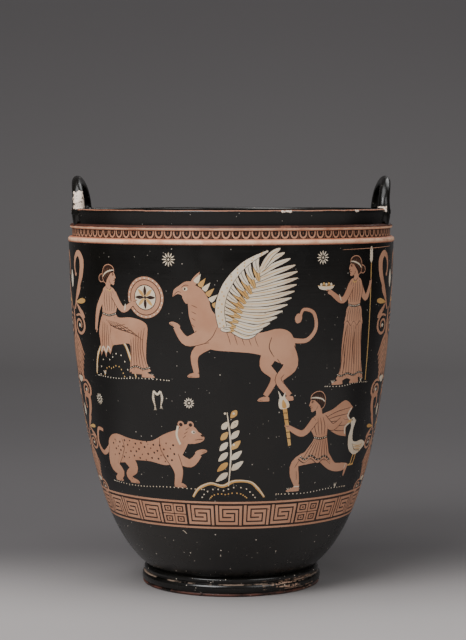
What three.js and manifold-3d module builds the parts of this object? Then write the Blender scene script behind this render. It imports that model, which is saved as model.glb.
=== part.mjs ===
// A terracotta situla: a wheel-thrown bucket on a moulded ring foot, with a loop handle
// standing on each side of its rim. Body, foot and handles are one fired piece.
// Millimetres, +Z up. The origin is at the middle of the foot's underside, the handles
// stand on the X axis, and the side with the main painting faces -Y.
import * as THREE from "three";
import { mergeVertices } from "three/addons/utils/BufferGeometryUtils.js";
import Module from "manifold-3d";

// Bucket wall: r = WALL_RADIUS * (1 - drop^WALL_FALL)^(1/WALL_ROUND), where drop runs
// from 0 at WALL_TOP down to 1 at the height where that curve would close on the axis
const WALL_RADIUS = 124.5;
const WALL_TOP = 268;
const WALL_FALL = 1.852;
const WALL_ROUND = 3.716;
const OUTER_CLOSE = 1.2;
const INNER_CLOSE = 13.5;
const WALL_THICKNESS = 6.5;
const WALL_BOTTOM = 14.8;
const FLOOR_EDGE = 14;
const WALL_STEPS = 10;

// Rim band and the two half-round mouldings that frame the egg frieze under it
const RIM_HEIGHT = 288;
const LIP_RADIUS = 122.5;
const LIP_INNER_RADIUS = 114.5;
const LIP_ROUNDING = 1.4;
const BAND_RADIUS = 120.8;
const BAND_BOTTOM = 277.4;
const UPPER_MOULDING = { middle: 275.2, half: 1.9, radius: 123.5 };
const FRIEZE_RADIUS = 121.9;
const LOWER_MOULDING = { middle: 265.4, half: 2.1, radius: 125.0 };

// Foot: a base fillet, a broad torus and a narrow one, each parted by a groove
const FOOT_NECK_RADIUS = 64.9;
const BASE_FILLET = { top: 1.8, radius: 68.4 };
const BASE_GROOVE_RADIUS = 67.5;
const BROAD_TORUS = { middle: 5.9, half: 3.4, radius: 69.0 };
const NARROW_TORUS = { middle: 11.8, half: 2.0, radius: 67.4 };
const TORUS_GROOVE_RADIUS = 66.6;
const RESTING_RING = { inner: 54, outer: 66.8 };
const UNDERSIDE_RECESS = 5;

// Handles: half-oval loops, bowed a little to follow the curve of the rim
const HANDLE_REACH = 118;
const HANDLE_BOW = 3.4;
const HANDLE_HALF_SPAN = 36;
const HANDLE_CROWN = 309.4;
const HANDLE_SPRING = 290;
const HANDLE_SINK = 4;
const HANDLE_HALF_DEPTH = { crown: 3.5, leg: 4.4, root: 5.6 };
const HANDLE_HALF_WIDTH = { crown: 3.8, leg: 4.4, root: 6.0 };
const HANDLE_SIDES = 12;
const HANDLE_STEPS = 18;
const ARCH_STEPS = 8;
// Clay smeared down over the rim's outer face under each leg
const ROOT_PAD = { circle: 121.7, height: 283.4, depth: 3.4, width: 6.2, rise: 8.6 };
const PAD_SIDES = 10;
const PAD_RINGS = 6;

const TURNS = 72; // facets round the wheel-thrown body
const MOULDING_STEPS = 4;

const wasm = await Module();
wasm.setup();

// Radius of a wall curve at height z
function wallRadius(z, radius, close) {
  const drop = (WALL_TOP - z) / (WALL_TOP - close);
  return radius * Math.pow(1 - Math.pow(Math.max(drop, 0), WALL_FALL), 1 / WALL_ROUND);
}

// Profile points of a wall curve from one height to another, closer together where it turns in
function wallProfile(from, to, radius, close) {
  const points = [];
  for (let i = 0; i <= WALL_STEPS; i++) {
    const share = Math.pow(i / WALL_STEPS, 1.5);
    const z = from + (to - from) * share;
    points.push(new THREE.Vector2(wallRadius(z, radius, close), z));
  }
  return points;
}

// Profile points of a half-round moulding that stands out from a root radius, bottom to top
function mouldingProfile({ middle, half, radius }, rootBelow, rootAbove) {
  const points = [];
  for (let i = 0; i <= MOULDING_STEPS; i++) {
    const angle = -Math.PI / 2 + (Math.PI * i) / MOULDING_STEPS;
    const root = angle < 0 ? rootBelow : rootAbove;
    points.push(
      new THREE.Vector2(root + (radius - root) * Math.cos(angle), middle + half * Math.sin(angle)),
    );
  }
  return points;
}

// Outside, from the axis under the foot, up to the lip
function outerProfile() {
  const wallTop = LOWER_MOULDING.middle - LOWER_MOULDING.half;
  const wall = wallProfile(WALL_BOTTOM, wallTop, WALL_RADIUS, OUTER_CLOSE);
  const wallEnd = wall[wall.length - 1].x;
  return [
    new THREE.Vector2(0, UNDERSIDE_RECESS),
    new THREE.Vector2(RESTING_RING.inner - UNDERSIDE_RECESS, UNDERSIDE_RECESS),
    new THREE.Vector2(RESTING_RING.inner, 0),
    new THREE.Vector2(RESTING_RING.outer, 0),
    new THREE.Vector2(BASE_FILLET.radius, BASE_FILLET.top / 2),
    new THREE.Vector2(BASE_FILLET.radius, BASE_FILLET.top),
    ...mouldingProfile(BROAD_TORUS, BASE_GROOVE_RADIUS, TORUS_GROOVE_RADIUS),
    ...mouldingProfile(NARROW_TORUS, TORUS_GROOVE_RADIUS, FOOT_NECK_RADIUS),
    ...wall,
    ...mouldingProfile(LOWER_MOULDING, wallEnd, FRIEZE_RADIUS).slice(1),
    ...mouldingProfile(UPPER_MOULDING, FRIEZE_RADIUS, BAND_RADIUS),
    new THREE.Vector2(BAND_RADIUS, BAND_BOTTOM),
    new THREE.Vector2(LIP_RADIUS, RIM_HEIGHT - LIP_ROUNDING),
    new THREE.Vector2(LIP_RADIUS - LIP_ROUNDING, RIM_HEIGHT),
  ];
}

// Inside, from the lip down to the middle of the floor
function innerProfile() {
  const innerRadius = WALL_RADIUS - WALL_THICKNESS;
  const wallTop = BAND_BOTTOM - WALL_THICKNESS;
  const wall = wallProfile(FLOOR_EDGE, wallTop, innerRadius, INNER_CLOSE);
  return [
    new THREE.Vector2(LIP_INNER_RADIUS + LIP_ROUNDING, RIM_HEIGHT),
    new THREE.Vector2(LIP_INNER_RADIUS, RIM_HEIGHT - LIP_ROUNDING),
    new THREE.Vector2(LIP_INNER_RADIUS, BAND_BOTTOM),
    ...wall.reverse(),
    new THREE.Vector2(0, INNER_CLOSE),
  ];
}

// A closed geometry as a manifold solid
function solid(geometry) {
  geometry.deleteAttribute("normal");
  geometry.deleteAttribute("uv");
  const merged = mergeVertices(geometry, 1e-4);
  return new wasm.Manifold(
    new wasm.Mesh({
      numProp: 3,
      vertProperties: merged.attributes.position.array,
      triVerts: new Uint32Array(merged.index.array),
    }),
  );
}

// A manifold solid as a geometry
function geometryOf(made) {
  const mesh = made.getMesh();
  const geometry = new THREE.BufferGeometry();
  const corners = new Float32Array(mesh.vertProperties);
  geometry.setAttribute("position", new THREE.BufferAttribute(corners, 3));
  geometry.setIndex(new THREE.BufferAttribute(new Uint32Array(mesh.triVerts), 1));
  geometry.computeVertexNormals();
  return geometry;
}

function thrownBody() {
  const lathe = new THREE.LatheGeometry([...outerProfile(), ...innerProfile()], TURNS);
  return solid(lathe.rotateX(Math.PI / 2));
}

// Point on a loop's centreline, at a distance along the rim from the X axis
function onLoop(along, height, side) {
  const bow = HANDLE_BOW * (along / HANDLE_HALF_SPAN) ** 2;
  return new THREE.Vector3(side * (HANDLE_REACH - bow), along, height);
}

// Centreline of a loop: out of the rim, over in a half oval and into the rim again
function handleLine(side) {
  const points = [onLoop(-HANDLE_HALF_SPAN, RIM_HEIGHT - HANDLE_SINK, side)];
  for (let i = 0; i <= ARCH_STEPS; i++) {
    const angle = (Math.PI * i) / ARCH_STEPS;
    const height = HANDLE_SPRING + (HANDLE_CROWN - HANDLE_SPRING) * Math.sin(angle);
    points.push(onLoop(-HANDLE_HALF_SPAN * Math.cos(angle), height, side));
  }
  points.push(onLoop(HANDLE_HALF_SPAN, RIM_HEIGHT - HANDLE_SINK, side));
  return new THREE.CatmullRomCurve3(points, false, "centripetal");
}

// Half size of the loop's section at a share of its length: thinner over the crown, flared at the roots
function sectionSize({ crown, leg, root }, share) {
  const fromCrown = Math.abs(2 * share - 1);
  const flare = Math.pow(fromCrown, 8);
  return crown + (leg - crown) * fromCrown + (root - leg) * flare;
}

// A rod of oval section bent along the loop's centreline
function handleLoop(side) {
  const line = handleLine(side);
  const rod = new THREE.CylinderGeometry(1, 1, 1, HANDLE_SIDES, HANDLE_STEPS);
  const position = rod.getAttribute("position");
  for (let i = 0; i < position.count; i++) {
    const share = position.getY(i) + 0.5;
    const centre = line.getPointAt(share);
    const ahead = line.getTangentAt(share);
    const outward = new THREE.Vector3(centre.x, centre.y, 0).normalize();
    const across = outward.clone().cross(ahead).normalize();
    const spot = centre
      .addScaledVector(outward, position.getX(i) * sectionSize(HANDLE_HALF_DEPTH, share))
      .addScaledVector(across, position.getZ(i) * sectionSize(HANDLE_HALF_WIDTH, share));
    position.setXYZ(i, spot.x, spot.y, spot.z);
  }
  return solid(rod);
}

// The smear of clay that keys one leg to the outside of the rim
function rootPad(side, end) {
  const pad = new THREE.SphereGeometry(1, PAD_SIDES, PAD_RINGS).rotateX(Math.PI / 2);
  const y = end * HANDLE_HALF_SPAN;
  const x = side * Math.sqrt(ROOT_PAD.circle * ROOT_PAD.circle - y * y);
  pad.scale(ROOT_PAD.depth, ROOT_PAD.width, ROOT_PAD.rise);
  pad.rotateZ(Math.atan2(y, x));
  pad.translate(x, y, ROOT_PAD.height);
  return solid(pad);
}

function situla() {
  let made = thrownBody();
  for (const side of [-1, 1]) {
    made = made.add(handleLoop(side));
    for (const end of [-1, 1]) made = made.add(rootPad(side, end));
  }
  const glaze = new THREE.MeshStandardMaterial({ color: 0x1a1816, roughness: 0.35, metalness: 0 });
  const mesh = new THREE.Mesh(geometryOf(made), glaze);
  mesh.name = "situla";
  return mesh;
}

const group = new THREE.Group();
group.add(situla());

export default group;
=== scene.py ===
import math

import bmesh
import bpy
import numpy as np
from mathutils import Matrix, Vector
from mathutils.geometry import delaunay_2d_cdt


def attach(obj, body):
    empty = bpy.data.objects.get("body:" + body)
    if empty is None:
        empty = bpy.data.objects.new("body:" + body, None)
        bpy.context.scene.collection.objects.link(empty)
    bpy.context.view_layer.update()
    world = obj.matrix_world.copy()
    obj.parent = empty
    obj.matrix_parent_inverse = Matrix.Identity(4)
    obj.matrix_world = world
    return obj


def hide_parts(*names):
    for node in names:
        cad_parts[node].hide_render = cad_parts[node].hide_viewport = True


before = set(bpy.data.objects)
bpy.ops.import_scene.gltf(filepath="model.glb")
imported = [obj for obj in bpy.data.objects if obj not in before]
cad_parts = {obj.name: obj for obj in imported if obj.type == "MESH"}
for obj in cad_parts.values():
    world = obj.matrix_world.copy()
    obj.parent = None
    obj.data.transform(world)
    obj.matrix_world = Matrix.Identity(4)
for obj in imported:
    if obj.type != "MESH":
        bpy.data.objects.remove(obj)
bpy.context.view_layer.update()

MM = 0.001

# Bucket wall: r = WALL_RADIUS * (1 - drop ** WALL_FALL) ** (1 / WALL_ROUND), where drop runs
# from 0 at WALL_TOP down to 1 at the height where the curve would close on the axis
WALL_RADIUS = 124.5
WALL_TOP = 268.0
WALL_FALL = 1.852
WALL_ROUND = 3.716
OUTER_CLOSE = 1.2
INNER_CLOSE = 13.5
WALL_THICKNESS = 6.5
WALL_BOTTOM = 14.8
FLOOR_EDGE = 14.0

# Rim band and the mouldings that frame the egg frieze: (middle height, half height, radius)
RIM_HEIGHT = 288.0
LIP_RADIUS = 122.5
LIP_INNER_RADIUS = 114.5
LIP_ROUNDING = 1.4
BAND_RADIUS = 120.8
BAND_BOTTOM = 277.4
UPPER_MOULDING = (275.2, 1.9, 123.5)
FRIEZE_RADIUS = 121.9
LOWER_MOULDING = (265.4, 2.1, 125.0)
FRIEZE_EDGES = (LOWER_MOULDING[0] + LOWER_MOULDING[1], UPPER_MOULDING[0] - UPPER_MOULDING[1])

# Foot
FOOT_NECK_RADIUS = 64.9
BASE_FILLET_TOP = 1.8
BASE_FILLET_RADIUS = 68.4
BASE_GROOVE_RADIUS = 67.5
BROAD_TORUS = (5.9, 3.4, 69.0)
NARROW_TORUS = (11.8, 2.0, 67.4)
TORUS_GROOVE_RADIUS = 66.6
RING_INNER = 54.0
RING_OUTER = 66.8
UNDERSIDE_RECESS = 5.0

# Loop handles: half ovals, bowed a little to follow the curve of the rim
HANDLE_REACH = 118.0
HANDLE_BOW = 3.4
HANDLE_HALF_SPAN = 36.0
HANDLE_CROWN = 309.4
HANDLE_SPRING = 290.0
HANDLE_SINK = 4.0
HANDLE_HALF_DEPTH = (3.5, 4.4, 5.6)  # at crown, leg and root
HANDLE_HALF_WIDTH = (3.8, 4.4, 6.0)
HANDLE_SIDES = 32
HANDLE_STEPS = 60
ARCH_STEPS = 48
PAD_CIRCLE = 121.7
PAD_HEIGHT = 283.4
PAD_HALF = (3.0, 6.6, 8.2)  # depth, width and rise of the clay smeared under each leg
SMEAR_REACH = 14.0  # how far from a leg's foot the joint is softened

# Painted zones
MEANDER = (55.8, 76.8)
KEY_CELLS = 30
KEY_SHIFT = 5.0  # degrees
EGGS = 108

TURNS = 144  # steps round the body
SECTORS = 24  # painted wall patches round the body
PATCH_HEIGHTS = (WALL_BOTTOM, 54.0, 104.0, 150.0, 196.0, 232.0, LOWER_MOULDING[0] - LOWER_MOULDING[1])
PATCH_ROW = 6.0  # height of a wall facet
LONGEST_EDGE = 4.5
WELD = 0.004

# Finishes, in the order of the material slots
GLOSS, CLAY, WHITE, YELLOW, LINE, WASH, MOULDING, LIP, INSIDE = range(9)

# Wear, in metres as the finishes read it: zones are low corner, high corner and raggedness
RIM_CHIPS = ((18.7, 0.0032), (48.5, 0.0014))  # degrees from the front, half width
LEG_LOSSES = (
    ((-0.1178, -0.046, 0.2885), (-0.1095, -0.0262, 0.3010), 0.005),
    ((0.1085, -0.046, 0.2866), (0.1160, -0.036, 0.2896), 0.003),
)
FOOT_RUB = ((0.024, -0.07, 0.0), (0.062, -0.03, 0.012), 0.012)
ZONE_FADE = 0.0006

PAINT = []  # painted wall: outlines of (angle * WALL_RADIUS, height) and their finish, in painting order
FRIEZE = []  # painted frieze, likewise


def wall_radius(z, radius=WALL_RADIUS, close=OUTER_CLOSE):
    """Radius of a wall curve at a height."""
    drop = (WALL_TOP - z) / (WALL_TOP - close)
    return radius * (1 - max(drop, 0) ** WALL_FALL) ** (1 / WALL_ROUND)


def curve(points, steps=5, closed=False):
    """Smooth line through points; a point given twice makes a corner."""
    count = len(points)
    line = []
    for i in range(count if closed else count - 1):
        a, b, c, d = (points[(i + k) % count] if closed else points[min(max(i + k, 0), count - 1)]
                      for k in (-1, 0, 1, 2))
        if b == c:
            continue
        for k in range(steps):
            t = k / steps
            line.append(tuple(
                q + 0.5 * t * (r - p + t * (2 * p - 5 * q + 4 * r - s + t * (3 * (q - r) + s - p)))
                for p, q, r, s in zip(a, b, c, d)))
    return line if closed else line + [points[-1]]


def spread(values, share):
    """Value at a share of the way along a list."""
    place = share * (len(values) - 1)
    i = min(int(place), len(values) - 2)
    return values[i] + (values[i + 1] - values[i]) * (place - i)


def stroke(points, widths, steps=5):
    """Outline of a stroke along a smooth line, with widths spread along it."""
    line = curve(points, steps)
    sides = [], []
    for i, (x, y) in enumerate(line):
        (ax, ay), (bx, by) = line[max(i - 1, 0)], line[min(i + 1, len(line) - 1)]
        length = math.hypot(bx - ax, by - ay) or 1
        half = spread(widths, i / (len(line) - 1)) / 2
        dx, dy = (ay - by) / length * half, (bx - ax) / length * half
        sides[0].append((x + dx, y + dy))
        sides[1].append((x - dx, y - dy))
    return sides[0] + sides[1][::-1]


def ring(x, y, width, height, count=20, turn=0):
    """Outline of an oval."""
    spin = math.radians(turn)
    out = []
    for k in range(count):
        a = 2 * math.pi * k / count
        u, v = width * math.cos(a), height * math.sin(a)
        out.append((x + u * math.cos(spin) - v * math.sin(spin),
                    y + u * math.sin(spin) + v * math.cos(spin)))
    return out


class Brush:
    """Paints in millimetres right and up from a spot on the wall."""

    def __init__(self, angle, height, size=1.0, flip=1, turn=0.0, place=None):
        self.angle, self.height = angle, height
        co, si = math.cos(math.radians(turn)), math.sin(math.radians(turn))
        self.matrix = place or (flip * size * co, -flip * size * si, size * si, size * co, 0.0, 0.0)

    def at(self, x, y, size=1.0, flip=1, turn=0.0):
        """A brush whose spot is at a point of this one."""
        a, b, c, d, e, f = self.matrix
        co, si = math.cos(math.radians(turn)), math.sin(math.radians(turn))
        m = (flip * size * co, -size * si, flip * size * si, size * co)
        return Brush(self.angle, self.height, place=(
            a * m[0] + b * m[2], a * m[1] + b * m[3], c * m[0] + d * m[2], c * m[1] + d * m[3],
            a * x + b * y + e, c * x + d * y + f))

    def fill(self, outline, colour):
        """Lay an outline on the wall, its widths true at its height."""
        a, b, c, d, e, f = self.matrix
        spots = []
        for x, y in outline:
            z = self.height + c * x + d * y + f
            spots.append((WALL_RADIUS * (math.radians(self.angle)
                                         + (a * x + b * y + e) / wall_radius(z)), z))
        PAINT.append((spots, colour))

    def shape(self, points, colour=CLAY, steps=5):
        """Fill a smooth closed outline."""
        self.fill(curve(points, steps, True), colour)

    def line(self, points, width=0.5, colour=LINE, steps=4):
        """Draw a line that thins out at its ends."""
        self.fill(stroke(points, [width * 0.5, width, width, width * 0.5], steps), colour)

    def limb(self, points, widths, colour=CLAY, edge=0.45, steps=6):
        """Draw a broad stroke, parted by a dark edge from what it crosses."""
        if edge:
            self.fill(stroke(points, [w + 2 * edge for w in widths], steps), LINE)
        self.fill(stroke(points, widths, steps), colour)

    def dot(self, x, y, radius, colour=WHITE, count=8):
        self.fill(ring(x, y, radius, radius, count), colour)

    def oval(self, x, y, width, height, colour, turn=0, count=20):
        self.fill(ring(x, y, width, height, count, turn), colour)


def along(points, share):
    """Point at a share of the way along a row of points."""
    return tuple(spread([p[k] for p in points], share) for k in (0, 1))


def folds(b, top, bottom, count, bow=0.0, width=0.5, colour=LINE):
    """Fold lines fanned from one edge of a cloth to another."""
    for k in range(count):
        share = (k + 0.5) / count
        (x0, y0), (x1, y1) = along(top, share), along(bottom, share)
        b.line([(x0, y0), ((x0 + x1) / 2 + bow * (2 * share - 1), (y0 + y1) / 2), (x1, y1)], width,
               colour)


def dots(b, points, count, radius, colour=WHITE):
    """A row of dots along a smooth line."""
    line = curve(points, 8)
    for k in range(count):
        b.dot(*along(line, k / max(count - 1, 1)), radius, colour, 6)


def head(b, bun=True):
    """Head in profile, facing right, on its neck."""
    hair = [(5.0, 3.6), (3.8, 6.4), (-0.4, 8.0), (-5.2, 6.6), (-7.5, 2.0), (-6.6, -3.4), (-3.8, -5.2),
            (-2.7, -2.8), (-1.2, -1.0), (0.5, 0.8), (2.2, 2.3), (3.8, 2.5)]
    if bun:
        b.oval(-8.6, -1.6, 3.9, 3.2, CLAY, 20)
        b.oval(-8.6, -1.6, 3.3, 2.6, LINE, 20)
    b.shape([(1.08 * x + 0.1, 1.08 * y) for x, y in hair], CLAY)
    b.shape([(-1.5, 6.2), (2.6, 6.0), (4.7, 4.2), (5.5, 2.2), (6.9, -0.9), (6.9, -0.9), (6.5, -1.7),
             (5.5, -2.0), (6.0, -2.8), (5.3, -3.2), (5.8, -3.9), (5.1, -4.5), (5.4, -5.6), (4.2, -6.5),
             (1.6, -5.7), (0.9, -7.4), (1.9, -11.8), (1.9, -11.8), (-5.0, -11.8), (-5.0, -11.8),
             (-4.2, -7.0), (-4.6, -2.0), (-5.0, 3.0)])
    b.shape(hair, LINE)
    for k in range(5):
        b.line([(3.0 - 1.9 * k, 6.2 - 0.4 * abs(k - 2)), (1.6 - 1.9 * k, 3.6 - 0.6 * k),
                (1.0 - 1.5 * k, 1.6 - 0.9 * k)], 0.35, WASH)
    b.line([(4.9, 4.4), (0.5, 3.9), (-4.5, 2.0), (-7.2, -0.6)], 1.1, WHITE)
    b.line([(2.6, 1.3), (3.8, 1.8), (5.0, 1.2)], 0.45)
    b.dot(4.2, 1.1, 0.5, LINE)
    b.line([(2.7, 0.7), (4.0, 0.5), (4.9, 0.8)], 0.3)
    b.line([(2.4, 2.9), (3.9, 3.2), (5.2, 2.5)], 0.4)
    b.line([(4.0, -3.1), (5.4, -3.2)], 0.4)
    b.line([(5.2, -1.2), (5.5, -1.9), (6.3, -1.8)], 0.35)
    b.line([(1.6, -5.6), (0.2, -4.4), (-0.4, -2.6)], 0.35)


def hand(b):
    """Hand at the end of an arm that comes from the left."""
    b.shape([(-1.6, 1.3), (0.6, 1.7), (3.0, 1.6), (5.2, 0.6), (5.0, -0.3), (3.2, 0.0), (3.4, -1.2),
             (1.2, -1.7), (-1.6, -1.3)], CLAY, 3)
    b.line([(1.6, 0.7), (4.8, 0.2)], 0.3)


def foot(b):
    """Foot in profile, toes to the right, heel at the spot."""
    b.shape([(-1.9, 2.0), (-1.5, 5.2), (2.1, 5.2), (3.4, 3.2), (8.0, 1.5), (8.6, 0.3), (8.0, 0.0),
             (8.0, 0.0), (-1.2, 0.0), (-2.2, 0.7)], CLAY, 4)
    b.line([(-1.8, 3.6), (2.8, 3.6)], 0.7, WHITE)


def staff(b, foot_at, tip, leafy=True):
    """Long staff, with a leafy head or plain."""
    b.fill(stroke([foot_at, tip], [1.0, 1.0], 8), YELLOW)
    if leafy:
        x, y = tip
        for k in range(4):
            for side in (-1, 1):
                b.shape([(x, y - 2 + 2.2 * k), (x + side * 2.0, y + 0.4 + 2.0 * k),
                         (x + side * 1.4, y + 2.6 + 2.0 * k), (x, y + 1.0 + 2 * k)], WHITE, 3)
        b.dot(x, y + 9.0, 1.2, WHITE)


def phiale(b):
    """Shallow dish seen from the side, with offerings on it."""
    b.shape([(-7.5, 1.6), (-7.5, 1.6), (-5.5, -0.9), (0, -1.9), (5.5, -0.9), (7.5, 1.6), (7.5, 1.6),
             (0, 1.2)], WHITE, 4)
    b.line([(-7.3, 1.5), (0, 1.0), (7.3, 1.5)], 0.6, YELLOW)
    for k in range(5):
        b.dot(-4.4 + 2.2 * k, 2.3 + 0.5 * (k % 2), 1.0, YELLOW if k % 2 else WHITE)


def standing_woman(b):
    """Draped woman with a leafy staff and a dish, facing right, 92 mm tall."""
    staff(b, (-21, 1), (-19.5, 90))
    b.at(-8.5, 0.2).shape([(-2, 2), (-1, 5), (3, 5), (8, 1.6), (8, 0), (8, 0), (-2, 0)], CLAY, 4)
    foot(b.at(9.5, 0))
    b.limb([(-4.5, 73), (-13, 62.5), (-18.5, 71)], [5.4, 5.0, 4.2, 3.2])
    hand(b.at(-18.8, 72, 0.9, 1, 100))
    head(b.at(0.8, 85.4))
    skirt = [(-6.4, 57.5), (6.8, 57.5), (9.4, 48), (11.2, 30), (11.0, 12), (14.5, 4.0), (14.5, 4.0),
             (9, 2.4), (3, 4.2), (-4, 2.2), (-10.5, 4.2), (-16.5, 2.6), (-16.5, 2.6), (-12.6, 16),
             (-10, 34), (-9.6, 47)]
    b.shape(skirt)
    folds(b, [(-8.6, 43), (8.8, 43)], [(-15.2, 4.6), (12.6, 5.2)], 9, 0.6)
    b.line([(6.5, 44), (9.2, 30), (7.2, 16), (8.4, 8)], 0.6)
    b.line([(-2.5, 42), (-1.0, 28), (-3.6, 14)], 0.6)
    b.fill(stroke([(-15.6, 6.6), (-10.4, 7.8), (-4, 6.0), (3, 7.8), (9, 6.2), (13.6, 7.4)], [1.5, 1.5],
                  4), LINE)
    dots(b, [(-15.4, 6.6), (-10.4, 7.8), (-4, 6.0), (3, 7.8), (9, 6.2), (13.4, 7.4)], 16, 0.42)
    over = [(-2.4, 78.2), (2.4, 77.6), (6.2, 75.2), (9.0, 67.5), (7.0, 58.4), (9.6, 48.5), (10.4, 44.4),
            (10.4, 44.4), (6.8, 46.6), (3.4, 43.2), (0, 46.2), (-3.6, 43.0), (-6.8, 46.0), (-10.6, 43.4),
            (-10.6, 43.4), (-9.8, 48), (-6.4, 58.4), (-8.4, 68), (-6.8, 75.6)]
    b.fill([(x * 1.05, y - 0.5) for x, y in curve(over, 5, True)], LINE)
    b.shape(over)
    folds(b, [(-5.6, 56.5), (6.0, 56.5)], [(-8.8, 45.6), (8.6, 46.2)], 7, 0.8)
    folds(b, [(-5.0, 75.2), (5.0, 75.0)], [(-4.6, 60), (5.4, 60)], 5, 2.2)
    b.line([(-2.6, 77.6), (0.2, 75.2), (2.6, 77.2)], 0.5)
    b.fill(stroke([(-6.6, 58.0), (0, 57.0), (7.1, 58.2)], [1.7, 1.7], 6), LINE)
    dots(b, [(-5.6, 57.9), (0, 57.1), (6.2, 58.0)], 8, 0.5)
    b.limb([(4.6, 72.6), (12.6, 61.8), (23.5, 67.0)], [6.2, 5.2, 4.4, 3.2])
    b.line([(14.4, 61.4), (16.6, 66.2)], 0.9, WHITE)
    phiale(b.at(29, 71.4))
    hand(b.at(24.0, 67.4, 1, 1, 22))
    b.line([(-1.6, 75.6), (1.2, 74.4), (3.4, 76.2)], 0.9, YELLOW)


def rock(b, width, height):
    """Rocky ground: a wavy band of cream paint over dotted contours."""
    ridge = [(-0.5, 0), (-0.42, 0.5), (-0.25, 0.82), (-0.08, 0.68), (0.08, 0.96), (0.3, 0.9),
             (0.42, 0.46), (0.5, 0)]
    for rise, reach, colour in ((0.62, 0.74, WHITE), (0.28, 0.5, YELLOW)):
        dots(b, [(width * reach * x, height * rise * y) for x, y in ridge], int(width / 4), 0.6, colour)
    ridge = [(width * x, height * y) for x, y in ridge]
    b.fill(stroke(ridge, [1.4, 2.4, 2.0, 2.6, 1.8, 2.4, 1.2], 5), YELLOW)
    b.fill(stroke([(x, y + 0.5) for x, y in ridge], [0.5, 1.0, 0.7, 1.1, 0.6, 1.0, 0.4], 5), WHITE)


def ground(b, width, count):
    """Dotted ground line with small tufts."""
    dots(b, [(-width / 2, 0), (-width / 6, -0.8), (width / 6, 0.6), (width / 2, 0)], count, 0.5)
    for x in (-0.36, 0.3):
        for lean in (-1.6, 0, 1.6):
            b.line([(width * x, 0.6), (width * x + 0.4 * lean, 2.4), (width * x + lean, 4.2)], 0.5,
                   WHITE, 3)


def tympanum(b, radius):
    """Round frame drum with a dotted rim and a star."""
    b.oval(0, 0, radius + 0.5, radius + 0.5, LINE, 0, 40)
    b.oval(0, 0, radius, radius, CLAY, 0, 40)
    b.oval(0, 0, radius - 2.0, radius - 2.0, LINE, 0, 36)
    b.oval(0, 0, radius - 2.6, radius - 2.6, CLAY, 0, 36)
    b.oval(0, 0, radius * 0.62, radius * 0.62, LINE, 0, 30)
    b.oval(0, 0, radius * 0.62 - 0.6, radius * 0.62 - 0.6, WHITE, 0, 30)
    for k in range(24):
        a = math.radians(15 * k)
        b.dot((radius - 1.0) * math.cos(a), (radius - 1.0) * math.sin(a), 0.55, WHITE, 6)
    for k in range(8):
        b.at(0, 0, 1, 1, 45 * k).shape([(0.8, 0), (radius * 0.3, 1.3), (radius * 0.56, 0),
                                        (radius * 0.3, -1.3)], YELLOW if k % 2 else LINE, 3)
    b.dot(0, 0, 1.1, LINE)


def seated_woman(b):
    """Draped woman on a rock with a frame drum, facing right, 80 mm tall."""
    rock(b.at(0, 0), 44, 27)
    b.limb([(-4.6, 60.5), (-13.5, 49), (-17.5, 36)], [5.6, 5.0, 4.2, 3.2])
    hand(b.at(-17.6, 35.6, 0.9, 1, -95))
    foot(b.at(29.5, 0.4))
    foot(b.at(20.5, 2.6))
    head(b.at(0.9, 73.0))
    body = [(-2.4, 65.8), (2.4, 65.2), (6.4, 62.6), (9.0, 55), (6.8, 46.0), (10, 43.0), (21, 43.6),
            (31.5, 41.2), (35.2, 36.6), (33.4, 24), (32.4, 12), (35.6, 5.2), (35.6, 5.2), (29, 3.4),
            (23, 5.4), (16.4, 3.4), (16.4, 3.4), (18.6, 15), (18.4, 24), (9, 23.5), (-2, 22.5),
            (-11, 26), (-13.2, 33), (-9.2, 44), (-8.0, 54), (-6.8, 62.8)]
    b.shape(body)
    folds(b, [(-5.0, 62.6), (5.2, 62.2)], [(-5.6, 47.2), (5.6, 47.4)], 5, 2.0)
    b.line([(-2.6, 65.0), (0.2, 62.6), (2.6, 64.6)], 0.5)
    b.fill(stroke([(-8.8, 45.6), (-1, 44.2), (7.0, 46.0)], [1.7, 1.7], 6), LINE)
    dots(b, [(-7.6, 45.4), (-1, 44.3), (6.0, 45.7)], 8, 0.5)
    for k in range(6):
        b.line([(-7 + 2.6 * k, 41.5 - 0.4 * k), (2 + 3.4 * k, 36.5 - 1.5 * k + 0.22 * k * k),
                (15 + 3.1 * k, 38.4 - 2.2 * k)], 0.5)
    for k in range(6):
        b.line([(32.6 - 2.6 * k, 36.5 - 1.8 * k), (29.8 - 2.0 * k, 22 - 0.6 * k),
                (32.6 - 2.9 * k, 5.8 + (0.8 if k % 2 else 0))], 0.5)
    b.fill(stroke([(34.9, 7.8), (29, 6.4), (23, 8.2), (17.4, 6.6)], [1.5, 1.5], 4), LINE)
    dots(b, [(34.5, 7.8), (29, 6.4), (23, 8.2), (17.8, 6.6)], 11, 0.42)
    cloak = [(-9.6, 43.2), (-4, 40.8), (0, 36), (-1.5, 29), (0.5, 22), (-2.5, 15.5), (-2.5, 15.5),
             (-5.0, 18.5), (-7.6, 13.0), (-7.6, 13.0), (-10, 18), (-13.6, 13.8), (-13.6, 13.8),
             (-13.4, 24), (-14.2, 32)]
    b.fill([(1.05 * x + 0.3, 1.0 * y - 0.4) for x, y in curve(cloak, 5, True)], LINE)
    b.shape(cloak)
    folds(b, [(-9.6, 40), (-2.6, 37)], [(-12.4, 16), (-2.6, 18)], 4, 0.6)
    b.fill(stroke([(-13.0, 17.0), (-10, 21), (-7.2, 16.4), (-4.6, 21.4), (-2.0, 18.6)], [1.0, 1.0], 3),
           WHITE)
    tympanum(b.at(34.5, 58.5), 15.0)
    b.limb([(4.8, 60.2), (13.4, 49.4), (22.6, 53.4)], [6.2, 5.2, 4.4, 3.2])
    b.line([(15.6, 48.4), (16.6, 53.4)], 0.9, WHITE)
    hand(b.at(23.0, 53.8, 1, 1, 28))
    b.line([(-1.6, 63.4), (1.2, 62.2), (3.4, 63.8)], 0.9, YELLOW)


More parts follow.
